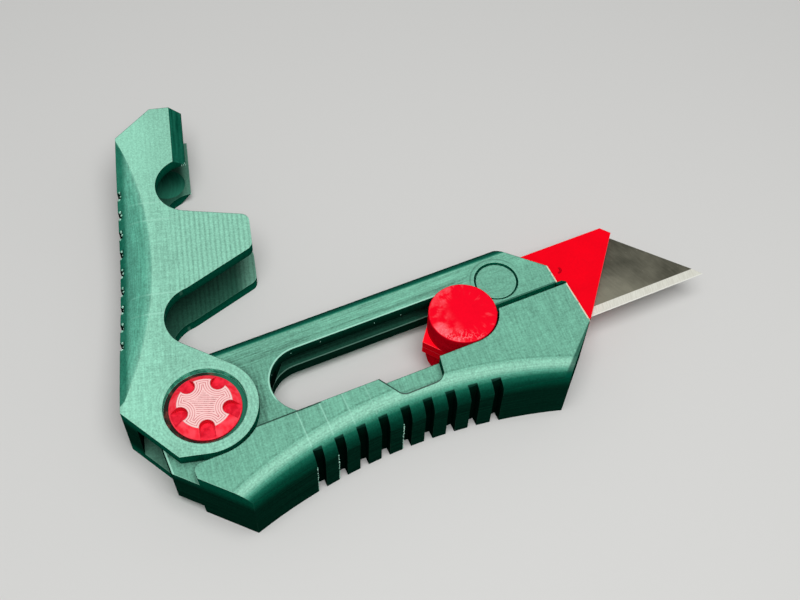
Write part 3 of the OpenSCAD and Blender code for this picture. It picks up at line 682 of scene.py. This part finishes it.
def star_pin(name, top):
    """The distance to the star's outline is the smaller of rim radius less radius, and
    the distance to the nearest notch, a slot with a round inner end. Lines lie at
    equal distances from the outline, and straight ones fill the middle."""
    r = Finish(name)
    radius = r.x.length(r.y)
    step = 2 * math.pi / STAR_ARMS
    turn = (r.x.math("ARCTAN2", r.y, r.x) - math.radians(STAR_TURN)) / step + 0.5
    turn = (turn.fraction() - 0.5) * step
    inward = (radius * turn.math("COSINE", turn) - NOTCH_R).smallest(0.0)
    sideways = radius * turn.math("SINE", turn)
    outline = (inward.length(sideways) - NOTCH_W / 2).smallest(STAR_R - radius)
    star = outline.ramp(-0.02, 0.06) * abs(r.z - top).ramp(0.14, 0.09)
    follow = beads(outline - 0.02, STAR_LINE)
    straight = beads(r.x * STAR_ALONG[0] + r.y * STAR_ALONG[1], STAR_LINE)
    inside = outline.ramp(1.9, 2.0)
    lines = follow + inside * (straight - follow)
    worn = r.noise(r.place, 1.5, 3.0).ramp(0.3, 0.7)
    gap = star * lines.ramp(0.75, 0.2) * (0.55 + 0.45 * worn)
    deepest = gap * inside * r.noise(r.place, 0.9).ramp(0.5, 0.6)
    red_print(r, star, colours=PIN_COLOURS, edge_highlight=0.0)
    printed = r.mix(gap, r.printed(), rgb(196, 78, 88))
    printed = r.mix(deepest * 0.7, printed, rgb(116, 52, 52))
    # The cone is painted lighter as painted light, and it and the notch floors get painted light from
    # emission.
    cone = abs(r.rise - 0.7).ramp(0.2, 0.1) * radius.ramp(6.2, 6.4)
    cone_painted_light = r.mix(r.noise(r.place, 1.6, 3.0).ramp(0.3, 0.7), rgb(238, 34, 54), rgb(255, 84, 98))
    printed = r.mix(cone * 0.9, printed, cone_painted_light)
    floor = (0 - outline).ramp(0.02, 0.2) * radius.ramp(STAR_R + 1.9, STAR_R + 1.7)
    floor = floor * r.rise.ramp(0.9, 0.99)
    r.set("Base Color", r.mix(floor, printed, r.mix(worn, rgb(196, 18, 40), rgb(240, 44, 66))))
    r.painted_glow(rgb(132, 10, 20), (cone * 0.9).largest(floor * 0.3))
    return r.material


dress(star_pin("red_pin", PIN_TOP), "pivot_pin")
dress(star_pin("red_nut", NUT_LOW), "pivot_nut")

# %% [markdown]
# ## Thumb knobs
#
# A knob is a turned shape: one profile carried round the axis. The profile holds what
# a lathe tool would: the spigot, the seat, a wall that bulges a little at each layer,
# and a rounded rim. That gives the ribbed wall as real geometry. The lower knob is the
# same head upside down, without a spigot.


# %% From points to a piece
def add_piece(name, points, faces, smooth=False):
    """A piece whose mesh has these points, in mm, and these faces."""
    mesh = bpy.data.meshes.new(name)
    mesh.from_pydata((np.asarray(points) * MM).tolist(), [], faces)
    mesh.polygons.foreach_set("use_smooth", np.full(len(faces), smooth))
    piece = bpy.data.objects.new(name, mesh)
    bpy.context.scene.collection.objects.link(piece)
    print(name, len(faces), "faces")
    return piece


def tube_faces(rings, steps, start, end):
    """Faces of a closed tube whose points run ring after ring: quads between
    neighbouring rings, and triangles to the single points start and end that close it."""
    i, j = np.meshgrid(np.arange(rings - 1), np.arange(steps), indexing="ij")
    after = (j + 1) % steps
    quads = np.stack([i * steps + j, i * steps + after, (i + 1) * steps + after,
                      (i + 1) * steps + j], -1).reshape(-1, 4)
    k, last = np.arange(steps), (rings - 1) * steps
    first_cap = np.stack([np.full(steps, start), (k + 1) % steps, k], -1)
    last_cap = np.stack([np.full(steps, end), last + k, last + (k + 1) % steps], -1)
    return quads, np.vstack([first_cap, last_cap])


# %% A profile carried round an axis
def turned(name, profile, centre, steps=128):
    """Surface of points (r cos t, r sin t, z) for (r, z) down the profile and t round
    the circle. A profile that starts and ends on the axis gives a closed shape: the
    axis points are single and joined by triangles."""
    profile = np.asarray(profile, float)
    ring = profile[1:-1]
    t = np.linspace(0, 2 * np.pi, steps, endpoint=False)
    x = ring[:, :1] * np.cos(t) + centre[0]
    y = ring[:, :1] * np.sin(t) + centre[1]
    body = np.stack([x, y, np.broadcast_to(ring[:, 1:], x.shape)], -1).reshape(-1, 3)
    ends = [[*centre, profile[0, 1]], [*centre, profile[-1, 1]]]
    quads, caps = tube_faces(len(ring), steps, len(body), len(body) + 1)
    return add_piece(name, np.vstack([body, ends]), [*quads.tolist(), *caps.tolist()], True)


def rounded_rim(radius, top, fillet, steps=6):
    """Quarter circle from the wall to the end face: centre (radius - fillet,
    top - fillet)."""
    a = np.linspace(0, np.pi / 2, steps)
    return np.stack([radius - fillet + fillet * np.cos(a), top - fillet + fillet * np.sin(a)], 1)


def layered_wall(radius, low, high, bulge=0.035, steps=4):
    """Wall whose radius swells at each layer: R - b + b sqrt(4 f (1 - f)), with f the
    place within one layer."""
    z = np.linspace(low, high, int(round((high - low) / LAYER)) * steps + 1)
    f = ((z - low) / LAYER) % 1.0
    return np.stack([radius - bulge + bulge * np.sqrt(np.clip(4 * f * (1 - f), 0, 1)), z], 1)


# %% Both knobs
KNOB_R, SPIGOT_R, SPIGOT_END, KNOB_RIM = 8.25, 4.0, 3.8, 0.3
PLATE_T = 4.4


def knob_head(seat, end):
    """Up the wall from the seat and over the rim to the axis."""
    wall = layered_wall(KNOB_R, seat, end - KNOB_RIM)
    rim = rounded_rim(KNOB_R, end, KNOB_RIM)
    return [*wall, *rim[1:], *([r, end] for r in (7.4, 6.0, 4.5, 3.0, 1.5)), [0, end]]


seat = MID_Z + PLATE_T / 2
head = knob_head(seat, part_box("knob_upper")[1].z / MM)
spigot = [[0, SPIGOT_END], [SPIGOT_R, SPIGOT_END], [SPIGOT_R, seat]]
upper = turned("thumb_knob_upper", [*spigot, *head], (KNOB_X, LANE_Y))
mirrored = np.array([[0, seat], *head]) * (1, -1) + (0, BODY_T)
lower = turned("thumb_knob_lower", mirrored[::-1], (KNOB_X, LANE_Y))
knob_finish = scuffed_knob()
for knob, node in ((upper, "knob_upper"), (lower, "knob_lower")):
    knob.data.materials.append(knob_finish)
    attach(knob, "carrier")
    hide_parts(node)

# %% [markdown]
# ## Leftovers of printing
#
# Where the nozzle crosses a narrow slot it leaves small glossy blobs on the edges.
# They catch the light more than anything else on the walls, so they are modelled: one
# unit sphere, moved and stretched for each blob in one array operation. Each closing
# magnet of the cover lies under a thin printed disc, turned like the knobs.


# %% Blobs on edges
def blobs(name, centres, sizes, body, rows=6, columns=8):
    """Ellipsoids c + s (cos a cos t, cos a sin t, sin a), with a from pole to pole and
    t round the waist, one for each centre c and half size s."""
    a = np.linspace(-np.pi / 2, np.pi / 2, rows + 1)[1:-1, None]
    t = np.linspace(0, 2 * np.pi, columns, endpoint=False)
    ball = np.stack([np.cos(a) * np.cos(t), np.cos(a) * np.sin(t), np.sin(a) + 0 * t], -1)
    ball = np.vstack([ball.reshape(-1, 3), [[0, 0, -1], [0, 0, 1]]])
    quads, caps = tube_faces(rows - 1, columns, len(ball) - 2, len(ball) - 1)
    points = np.asarray(centres)[:, None] + np.asarray(sizes)[:, None] * ball
    shift = np.arange(len(centres))[:, None, None] * len(ball)
    faces = [*(quads + shift).reshape(-1, 4).tolist(), *(caps + shift).reshape(-1, 3).tolist()]
    piece = add_piece(name, points.reshape(-1, 3), faces, True)
    piece.data.materials.append(glossy_drop)
    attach(piece, body)


def drop_finish():
    """Glossy green with painted highlights: almost white in places."""
    d = Finish("green_drop")
    d.set("Base Color", d.mix(d.noise(d.place, 1.2), rgb(44, 152, 120), rgb(196, 246, 228)))
    d.set("Roughness", 0.12 + 0.1 * d.noise(d.place, 0.5))
    d.set("Coat Weight", 0.5)
    return d.material


def opened(points):
    """Places on the folded cover, turned about Z to where it stands open."""
    c, s = math.cos(math.radians(OPEN_ANGLE)), math.sin(math.radians(OPEN_ANGLE))
    x, y, z = np.asarray(points, float).T
    return np.stack([x * c - y * s, x * s + y * c, z], -1)


# %% Beads at the spine's slots
glossy_drop = drop_finish()
chance = np.random.default_rng(7)
slots = RIB_X + (np.arange(9) - 4) * RIB_PITCH
side = np.array([-1.0, 1.0, -0.2])
bead_x = (slots[:, None] + side * SLOT_W / 2).ravel()
bead_y = SPINE_Y - bead_x * SPINE_FALL - np.tile([0.6, 0.7, 1.0], 9)
turned_in = SCALLOP_PLAN - np.hypot(bead_x - SCALLOP_X, bead_y - SCALLOP_Y - SCALLOP_PLAN)
round_z = BODY_T - SCALLOP_ROUND + np.sqrt(SCALLOP_ROUND**2 - turned_in**2)
bead_z = round_z - chance.uniform(0.1, 0.5, 27)
bead_size = np.stack([chance.uniform(0.32, 0.52, 27), chance.uniform(0.24, 0.36, 27),
                      chance.uniform(0.3, 0.62, 27)], -1)
bead_size[2::3] *= 0.8
blobs("spine_beads", opened(np.stack([bead_x, bead_y, bead_z], -1)), bead_size, "cover")

# %% Strings down three of the finger slots
STRUNG = (0, 1, 4)
string_slot = np.repeat(slots[list(STRUNG)], 16)
string_z = np.tile(np.linspace(0.6, 12.4, 16), 3) + chance.uniform(-0.3, 0.3, 48)
string_x = string_slot - SLOT_W / 2 + chance.uniform(-0.02, 0.12, 48)
string_y = WAIST_Y - (string_x - WAIST_X) ** 2 / (2 * WAIST_R) + chance.uniform(-0.04, 0.06, 48)
string_size = np.stack([chance.uniform(0.09, 0.2, 48), chance.uniform(0.08, 0.17, 48),
                        chance.uniform(0.14, 0.4, 48)], -1)
blobs("finger_strings", np.stack([string_x, string_y, string_z], -1), string_size, "frame")

# %% Whiskers at the lane's end, on the tip's corner and in the lane
lane_places = [(16.4, -5.2, 14.5), (16.2, -4.6, 14.0), (15.9, -3.9, 14.3), (15.7, -3.2, 14.6),
               (17.3, 4.4, 12.4), (23.5, 7.7, 13.1), (31.0, 7.7, 13.4), (45.0, 7.7, 12.9),
               (52.0, 7.7, 12.2)]
lane_sizes = [(0.14, 0.14, 0.2)] * 4 + [(0.12, 0.08, 0.14)] * 5
blobs("lane_whiskers", lane_places, lane_sizes, "frame")
tip_places = [(72.85, -0.08, 15.1), (72.75, 0.4, 15.2), (72.9, 0.05, 15.6), (72.7, 0.85, 15.1),
              (72.85, -0.08, 2.9), (73.2, 0.0, 2.8)]
tip_sizes = [(0.14, 0.14, 0.28)] * 4 + [(0.18, 0.14, 0.2)] * 2
blobs("tip_whiskers", opened(tip_places), tip_sizes, "cover")


# %% Printed discs over the cover's magnets
CAP_R, CAP_RISE, CAP_ROOT = 4.75, 0.24, 0.2
COVER_CHEEK = 3.0


def cap_finish():
    """Smooth green with painted shade, lighter towards -X of the folded cover, laid in slightly curved
    strokes.
    """
    c = Finish("green_cap", OPEN_ANGLE)
    bent = c.y - (c.x - DISC_X) * (c.x - DISC_X) * 0.06
    stroke = c.noise(c.join(c.x / 5, bent / 0.5, 0.0), 1.0, 2.0)
    # Painted light and shade: lighter towards -X of the folded cover.
    shade = stroke * 0.5 + (c.x - DISC_X).ramp(4.0, -4.0) * 0.7 - 0.2
    c.set("Base Color", c.mix(shade, rgb(3, 54, 41), rgb(50, 130, 106)))
    c.set("Roughness", 0.5)
    c.set("Specular IOR Level", 0.0)
    c.relief(stroke * 0.05)
    return c.material


def magnet_cap(name, face, out):
    """Low dome with the profile face + out rise (1 - (r / R)^2), rooted in the cheek."""
    r = np.linspace(0, CAP_R, 13)
    top = [(a, face + out * CAP_RISE * (1 - (a / CAP_R) ** 2)) for a in r]
    profile = top + [(CAP_R, face - out * CAP_ROOT), (0, face - out * CAP_ROOT)]
    x, y, _ = opened([(DISC_X, DISC_Y, 0.0)])[0]
    cap = turned(name, profile[::-1] if out > 0 else profile, (x, y), 64)
    cap.data.materials.append(cap_green)
    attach(cap, "cover")


cap_green = cap_finish()
magnet_cap("magnet_cap_lower", COVER_CHEEK, 1)
magnet_cap("magnet_cap_upper", BODY_T - COVER_CHEEK, -1)

# %% [markdown]
# ## Ridges on the pin and the nut
#
# The flat of the star is the one place where the printed lines stand out as ridges. A
# skin over the head carries them as a height over a polar grid. Outside the star the
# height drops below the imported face, so only the star shows. The nut has the same star.


# %% Height over a polar grid
def star_height(x, y, drop):
    """Ridge height in mm over the head's end: 0.004 + 0.045 (1 - (1 - 4 f (1 - f))^2)
    on the star, with f the place within one line, and drop below the end outside it."""
    radius, turn = np.hypot(x, y), np.arctan2(y, x)
    step = 2 * np.pi / STAR_ARMS
    turn = ((turn - np.radians(STAR_TURN)) / step + 0.5) % 1.0 * step - step / 2
    inward = np.minimum(radius * np.cos(turn) - NOTCH_R, 0)
    outline = np.minimum(np.hypot(inward, radius * np.sin(turn)) - NOTCH_W / 2, STAR_R - radius)
    place = np.where(outline > 1.95, x * STAR_ALONG[0] + y * STAR_ALONG[1], outline - 0.02)
    f = place / STAR_LINE % 1.0
    ridge = 0.004 + 0.045 * (1 - (1 - 4 * f * (1 - f)) ** 2)
    share = np.clip((outline - 0.02) / 0.03, 0, 1)
    return ridge * share - drop * (1 - share)


def star_skin(name, node, top, out, drop, rings, steps):
    """Points (r cos t, r sin t, top + out h) for rings of r and steps of t, closed by a
    flat back inside the head. The rings run outwards, so every face of the tube is
    turned over."""
    r = np.linspace(0, STAR_R, rings + 1)[1:, None]
    t = np.linspace(0, 2 * np.pi, steps, endpoint=False) * out
    x, y = r * np.cos(t), r * np.sin(t)
    skin = np.stack([x, y, top + out * star_height(x, y, drop)], -1).reshape(-1, 3)
    back_z = top - out * (drop + 0.2)
    back = np.stack([x[-1], y[-1], np.full(steps, back_z)], -1)
    middle_z = top + out * float(star_height(np.zeros(1), np.zeros(1), drop)[0])
    points = np.vstack([skin, back, [[0, 0, middle_z], [0, 0, back_z]]])
    quads, caps = tube_faces(rings + 1, steps, len(points) - 2, len(points) - 1)
    faces = [*quads[:, [0, 3, 2, 1]].tolist(), *caps[:, [0, 2, 1]].tolist()]
    piece = add_piece(name, points, faces)
    piece.data.materials.append(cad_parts[node].data.materials[0])
    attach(piece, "frame")


star_skin("pin_ridges", "pivot_pin", PIN_TOP, 1, drop=1.9, rings=126, steps=640)
star_skin("nut_ridges", "pivot_nut", NUT_LOW, -1, drop=1.2, rings=80, steps=400)

# %% [markdown]
# ## Small closing pieces
#
# The gap round each magnet disc is shallow, and the slit is closed at the nose by a
# thin web; both are coloured with painted shade.

# %% Gap floors and the web
DISC_GAP_R, GAP_LOW, GAP_HIGH = 5.43, 13.3, 13.9
NOSE_X = KNOB_X + 26.3


def shaded_green():
    """The green in painted shade, as it is seen down in a narrow gap."""
    d = Finish("green_gap")
    d.set("Base Color", d.mix(d.noise(d.place, 1.5), rgb(0, 56, 42), rgb(4, 84, 64)))
    d.set("Roughness", 0.7)
    d.set("Specular IOR Level", 0.0)
    return d.material


gap_green = shaded_green()
for name, low_z, high_z in (("gap_floor_upper", GAP_LOW, GAP_HIGH),
                            ("gap_floor_lower", BODY_T - GAP_HIGH, BODY_T - GAP_LOW)):
    section = [(0, low_z), (DISC_GAP_R, low_z), (DISC_GAP_R, high_z), (0, high_z)]
    gap_floor = turned(name, section, (DISC_X, DISC_Y), 96)
    gap_floor.data.materials.append(gap_green)
    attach(gap_floor, "frame")


def web(name, outline, near_y, far_y):
    """Outline in X and Z, carried from near_y to far_y; seen from -Y it runs
    counter-clockwise."""
    n = len(outline)
    points = [(x, near_y, z) for x, z in outline] + [(x, far_y, z) for x, z in outline]
    sides = [((i + 1) % n, i, i + n, (i + 1) % n + n) for i in range(n)]
    piece = add_piece(name, points, [tuple(range(n)), tuple(range(n, 2 * n))[::-1], *sides])
    piece.data.materials.append(gap_green)
    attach(piece, "frame")


web("slit_web", [(NOSE_X - 0.5, 11.35), (NOSE_X + 1.6, 11.35), (NOSE_X + 2.7, 12.6), (NOSE_X + 2.6, 13.5),
                 (NOSE_X + 1.2, 14.68), (NOSE_X - 0.5, 14.68)], -0.95, -0.3)

# %% [markdown]
# ## Ground steel
#
# A blade blank is ground across its face and honed along its edge. The body is dark,
# satin and a little olive from its oil, with fine slanting marks and a few pale
# specks. The bevel is almost white and shows short marks across the edge.

# %% Ground steel
BLADE_LOW, BLADE_TIP = -9.75, KNOB_X + 64.0
BEVEL = 2.3


def ground_steel():
    """Ground body, with the honed bevel along its low edge."""
    s = Finish("ground_steel")
    bevel = s.y.ramp(BLADE_LOW + BEVEL + 0.04, BLADE_LOW + BEVEL - 0.04)
    slant = s.x * 0.9 + s.y * 0.35
    grind = s.noise(s.join(slant, (s.y * 0.9 - s.x * 0.35) / 6, 0.0), 0.5, 3.0)
    stain = s.noise(s.place, 5.0, 5.0)
    low = (s.y - BLADE_LOW).ramp(13.0, 2.0) * (BLADE_TIP - s.x).ramp(6.0, 26.0)
    speck = s.noise(s.place, 0.32, 1.0).ramp(0.72, 0.78) * s.noise(s.place, 5.0).ramp(0.45, 0.6)
    shade = grind * 0.35 + stain * 0.8 - 0.28 + low * 0.75
    body = s.mix(shade, rgb(64, 64, 53), rgb(148, 146, 128))
    body = s.mix(speck * 0.6, body, rgb(205, 202, 180))
    hone = s.noise(s.join(s.x - s.y * 0.25, s.y / 8, 0.0), 0.3, 2.0)
    line = (s.y - BLADE_LOW).ramp(0.35, 0.15)
    edge = s.mix(hone.ramp(0.25, 0.75), rgb(210, 209, 197), rgb(226, 226, 215))
    edge = s.mix(line * 0.7, edge, rgb(242, 243, 236))
    s.set("Base Color", s.mix(bevel, body, edge))
    s.set("Metallic", 0.55 - 0.35 * bevel)
    s.set("Roughness", 0.36 + 0.12 * grind + 0.1 * bevel)
    s.relief(grind * 0.002 + hone * bevel * 0.001, 0.05)
    return s.material


def plating():
    """Bright nickel."""
    p = Finish("magnet_plating")
    p.set("Base Color", rgb(190, 190, 194))
    p.set("Metallic", 1.0)
    p.set("Roughness", 0.18 + 0.1 * p.noise(p.place, 0.8))
    return p.material


dress(ground_steel(), "blade")
dress(plating(), "frame_magnet_upper", "frame_magnet_lower", "cover_magnet_upper", "cover_magnet_lower")

# %% [markdown]
# ## Floor and light
#
# A pale round floor, one large soft lamp nearly overhead and a weak world. The lamp
# stands a little on the camera's side of the knife. The pale sheen of the flat faces
# and the deep colour of the near walls are painted into the green, not made by the lamp.

# %% Floor
FLOOR_RADIUS = 4.0


def round_floor():
    """Disc of one polygon: points (R cos t, R sin t, 0) for t round the circle."""
    t = np.linspace(0, 2 * np.pi, 96, endpoint=False)
    points = np.stack([FLOOR_RADIUS * np.cos(t), FLOOR_RADIUS * np.sin(t), 0 * t], 1)
    floor = add_piece("floor", points / MM, [list(range(len(t)))])
    f = Finish("floor")
    f.set("Base Color", rgb(214, 214, 212))
    f.set("Roughness", 0.9)
    f.set("Specular IOR Level", 0.1)
    floor.data.materials.append(f.material)


round_floor()


# %% Lamps and world
def soft_lamp(name, place, target, size, watts):
    """Round area lamp at a place, in metres, that faces the target."""
    lamp = bpy.data.lights.new(name, "AREA")
    lamp.shape = "DISK"
    lamp.size = size
    lamp.energy = watts
    obj = bpy.data.objects.new(name, lamp)
    aim = (Vector(target) - Vector(place)).to_track_quat("-Z", "Y")
    obj.matrix_world = Matrix.Translation(place) @ aim.to_matrix().to_4x4()
    bpy.context.scene.collection.objects.link(obj)
    print(name, watts, "W")


soft_lamp("lamp_over", (0.02, -0.15, 0.6), (0.03, 0.03, 0.0), 0.5, 3.4)
world = bpy.data.worlds.new("studio")
bpy.context.scene.world = world
world.use_nodes = True
background = world.node_tree.nodes["Background"].inputs
background["Color"].default_value = (0.8, 0.8, 0.8, 1)
background["Strength"].default_value = 0.3
